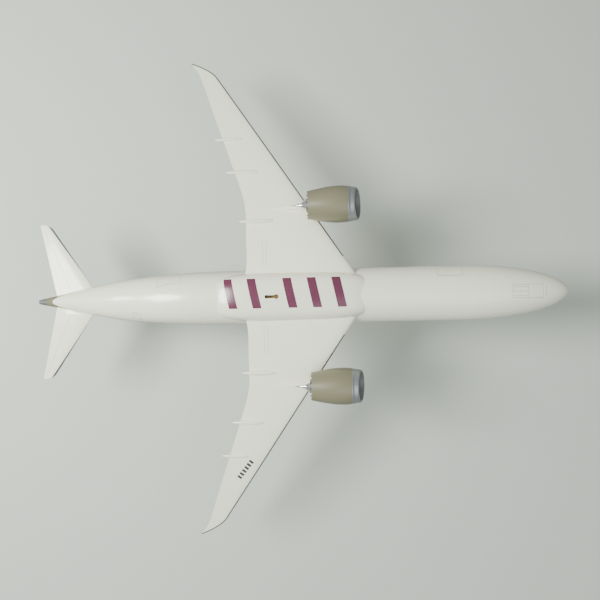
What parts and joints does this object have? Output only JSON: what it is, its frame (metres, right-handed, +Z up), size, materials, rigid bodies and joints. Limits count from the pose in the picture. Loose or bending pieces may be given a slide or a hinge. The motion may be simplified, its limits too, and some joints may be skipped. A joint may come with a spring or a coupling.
{
  "type": "desktop airliner model",
  "caption": "Desk model of a wide-body twin-engine airliner, gear up, with a keyhole stand socket in its belly and fans that turn.",
  "frame": {"origin": "centre of the round head of the keyhole stand socket, at its mouth on the belly face", "axes": "+X forward to the nose, +Y to port (left wing), +Z up; the socket opens along -Z"},
  "size_m": [0.484, 0.458, 0.1305],
  "materials": {
    "white_gloss": "white gloss paint on moulded plastic",
    "bare_plastic": "bare off-white plastic",
    "brass": "dull brass",
    "aluminium_sleeve": "mill finish",
    "steel": "plain steel",
    "tail_grey": "dark grey satin paint",
    "fin_greige": "grey-beige gloss paint",
    "cowl_greige": "grey-beige gloss paint",
    "lip_metal": "satin silver paint",
    "fan_grey": "dark metallic paint",
    "spinner_black": "black with a pale spiral",
    "core_grey": "dark grey paint",
    "nozzle_silver": "bright silver paint",
    "window_print": "black gloss print",
    "burgundy_print": "dark red gloss print",
    "line_print": "thin grey print"
  },
  "bodies": {
    "airframe": {"fuselage_left": "white_gloss", "fuselage_right": "white_gloss", "fuselage_dowels": "bare_plastic", "belly_fairing": "white_gloss", "stand_socket": "brass", "wing_joiner": "aluminium_sleeve", "wing_screws": "steel", "tail_cap": "tail_grey", "fin": "fin_greige", "tail_rod": "steel", "wing_left": "white_gloss", "wing_right": "white_gloss", "tailplane_left": "white_gloss", "tailplane_right": "white_gloss", "fan_cowl_left": "cowl_greige", "fan_cowl_right": "cowl_greige", "inlet_lip_left": "lip_metal", "inlet_lip_right": "lip_metal", "fan_pin_left": "steel", "fan_pin_right": "steel", "engine_core_left": "core_grey", "engine_core_right": "core_grey", "exhaust_nozzle_left": "nozzle_silver", "exhaust_nozzle_right": "nozzle_silver", "exhaust_plug_left": "nozzle_silver", "exhaust_plug_right": "nozzle_silver", "pylon_left": "white_gloss", "pylon_right": "white_gloss", "flap_fairing_inner_left": "white_gloss", "flap_fairing_inner_right": "white_gloss", "flap_fairing_middle_left": "white_gloss", "flap_fairing_middle_right": "white_gloss", "flap_fairing_outer_left": "white_gloss", "flap_fairing_outer_right": "white_gloss"},
    "fan_left": {"fan_left": "fan_grey", "spinner_left": "spinner_black"},
    "fan_right": {"fan_right": "fan_grey", "spinner_right": "spinner_black"}
  },
  "joints": [
    {"name": "fan_spin_left", "type": "hinge", "parent": "airframe", "child": "fan_left", "pos_m": [0.0543, 0.0779, 0.0062], "axis": [1, 0, 0], "continuous": true},
    {"name": "fan_spin_right", "type": "hinge", "parent": "airframe", "child": "fan_right", "pos_m": [0.0543, -0.0779, 0.0062], "axis": [1, 0, 0], "continuous": true}
  ]
}
